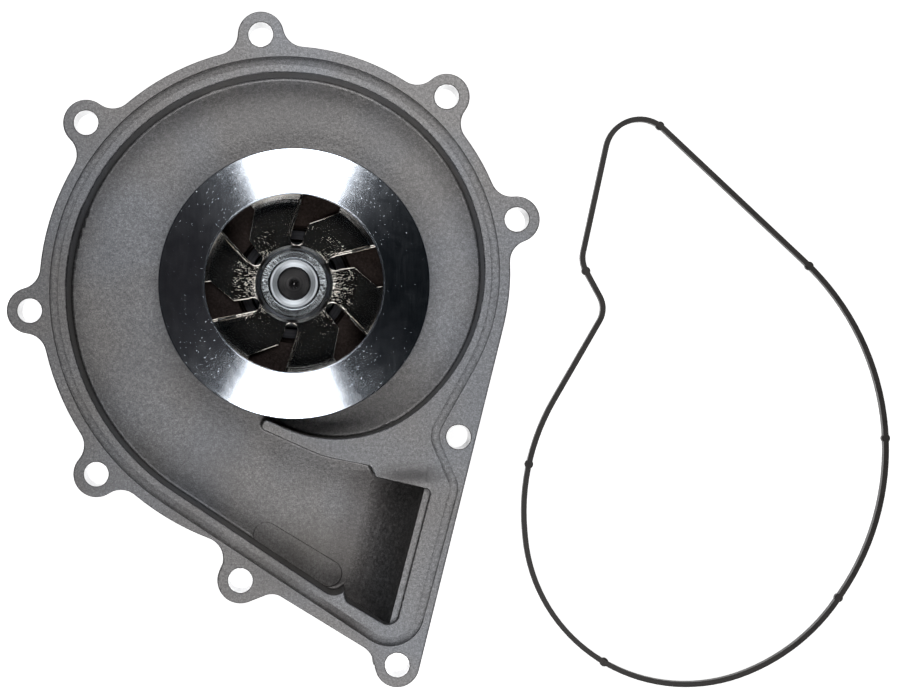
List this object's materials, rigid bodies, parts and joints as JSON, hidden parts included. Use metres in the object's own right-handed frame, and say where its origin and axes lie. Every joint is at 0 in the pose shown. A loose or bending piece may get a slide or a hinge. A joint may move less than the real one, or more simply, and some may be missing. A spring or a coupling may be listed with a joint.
{
  "type": "water pump",
  "caption": "Engine water pump with a spiral cast housing, closed sheet-metal impeller, side outlet window, ribbed belt pulley behind and a loose moulded flange seal.",
  "frame": {"origin": "shaft axis in the plane of the engine-side joint face", "axes": "+Z along the shaft axis out of the wet side; +X towards the side the flange seal lies on; the outlet leg runs towards -Y"},
  "size_m": [0.3496, 0.2641, 0.0892],
  "materials": {
    "cast_housing": "cast",
    "bearing_steel": "ground",
    "spring_steel": "phosphated",
    "seal_rubber": "matt",
    "case_steel": "pressed",
    "carbon": "lapped",
    "vent_plastic": "moulded",
    "shaft_steel": "ground",
    "disc_plate": "zinc plated",
    "shroud_plate": "bright zinc",
    "hub_steel": "turned",
    "ceramic": "lapped",
    "pulley_paint": "black coated",
    "bolt_zinc": "zinc plated",
    "cage_plastic": "moulded",
    "moulded_rubber": "moulded"
  },
  "bodies": {
    "housing": {"pump_housing": "cast_housing", "housing_back": "cast_housing", "outlet_ramp": "cast_housing", "bearing_outer_ring": "bearing_steel", "bearing_snap_ring": "spring_steel", "bearing_seal_front": "seal_rubber", "bearing_seal_rear": "seal_rubber", "face_seal_case": "case_steel", "face_seal_bellows": "seal_rubber", "face_seal_spring": "spring_steel", "weep_plug": "vent_plastic"},
    "rotor": {"pump_shaft": "shaft_steel", "impeller_disc": "disc_plate", "impeller_shroud": "shroud_plate", "impeller_hub": "hub_steel", "mating_ring": "ceramic", "mating_ring_cup": "seal_rubber", "slinger": "case_steel", "pulley_hub": "hub_steel", "pulley_rim": "pulley_paint", "pulley_web": "pulley_paint", "pulley_bolts": "bolt_zinc", "pulley_washers": "bolt_zinc"},
    "ball_set": {"bearing_balls": "bearing_steel", "ball_cage": "cage_plastic"},
    "roller_set": {"bearing_rollers": "bearing_steel", "roller_cage": "cage_plastic"},
    "seal_face": {"face_seal_carbon": "carbon", "face_seal_retainer": "case_steel"},
    "flange_ring": {"flange_seal": "moulded_rubber"}
  },
  "joints": [
    {"name": "shaft_spin", "type": "hinge", "parent": "housing", "child": "rotor", "pos_m": [0, 0, 0], "axis": [0, 0, 1], "continuous": true},
    {"name": "ball_set_spin", "type": "hinge", "parent": "housing", "child": "ball_set", "pos_m": [0, 0, 0], "axis": [0, 0, 1], "continuous": true},
    {"name": "roller_set_spin", "type": "hinge", "parent": "housing", "child": "roller_set", "pos_m": [0, 0, 0], "axis": [0, 0, 1], "continuous": true},
    {"name": "seal_face_float", "type": "slide", "parent": "housing", "child": "seal_face", "axis": [0, 0, -1], "range_m": [0, 0.0012], "stiffness_N_per_m": 3000, "springref_m": -0.004, "deforming": ["face_seal_spring", "face_seal_bellows"]},
    {"name": "flange_seal_lift", "type": "slide", "parent": "housing", "child": "flange_ring", "axis": [0, 0, 1], "range_m": [0, 0.15]}
  ],
  "couplings": [
    {"joint": "ball_set_spin", "follows": "shaft_spin", "ratio": 0.353},
    {"joint": "roller_set_spin", "follows": "shaft_spin", "ratio": 0.3957}
  ]
}
